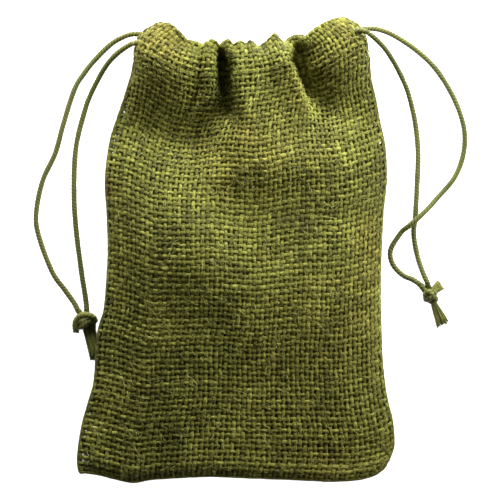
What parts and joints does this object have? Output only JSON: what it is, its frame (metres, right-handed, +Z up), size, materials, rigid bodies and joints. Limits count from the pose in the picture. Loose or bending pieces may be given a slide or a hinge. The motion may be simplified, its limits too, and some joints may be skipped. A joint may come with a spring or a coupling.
{
  "type": "drawstring gift sack",
  "caption": "Small drawstring gift sack of coarse woven cloth with a hemmed mouth and two knotted drawstrings, lying partly gathered.",
  "frame": {"origin": "under the middle of the cloth, on the surface that the sack lies on", "axes": "+X right, +Y from the bottom of the sack to its mouth, +Z up out of the front panel"},
  "size_m": [0.1427, 0.1521, 0.0195],
  "materials": {
    "jute": "coarse open weave, matte",
    "thread": "spun thread, matte",
    "cord": "waxed cotton, slight sheen"
  },
  "bodies": {
    "sack": {"front_panel": "jute", "back_panel": "jute", "left_seam_allowance": "jute", "right_seam_allowance": "jute", "left_seam_thread": "thread", "right_seam_thread": "thread"},
    "left_mouth": {"front_hem_left": "jute", "back_hem_left": "jute", "front_hem_thread_left": "thread", "back_hem_thread_left": "thread"},
    "right_mouth": {"front_hem_right": "jute", "back_hem_right": "jute", "front_hem_thread_right": "thread", "back_hem_thread_right": "thread"},
    "left_drawstring": {"left_inner_loop": "cord", "left_front_strand": "cord", "left_back_strand": "cord", "left_knot": "cord", "left_tail": "cord", "left_stub": "cord"},
    "right_drawstring": {"right_inner_loop": "cord", "right_front_strand": "cord", "right_back_strand": "cord", "right_knot": "cord", "right_tail": "cord", "right_stub": "cord"}
  },
  "joints": [
    {"name": "left_drawstring_pull", "type": "slide", "parent": "sack", "child": "left_drawstring", "axis": [-1, 0, 0], "range_m": [0, 0.02], "deforming": ["left_inner_loop"]},
    {"name": "right_mouth_gather", "type": "slide", "parent": "sack", "child": "right_mouth", "axis": [-1, 0, 0], "range_m": [0, 0.02], "deforming": ["front_hem_right", "back_hem_right", "front_hem_thread_right", "back_hem_thread_right"]},
    {"name": "right_drawstring_pull", "type": "slide", "parent": "sack", "child": "right_drawstring", "axis": [1, 0, 0], "range_m": [0, 0.02], "deforming": ["right_inner_loop"]},
    {"name": "left_mouth_gather", "type": "slide", "parent": "sack", "child": "left_mouth", "axis": [1, 0, 0], "range_m": [0, 0.02], "deforming": ["front_hem_left", "back_hem_left", "front_hem_thread_left", "back_hem_thread_left"]}
  ],
  "couplings": [
    {"joint": "right_mouth_gather", "follows": "left_drawstring_pull", "ratio": 1},
    {"joint": "left_mouth_gather", "follows": "right_drawstring_pull", "ratio": 1}
  ]
}
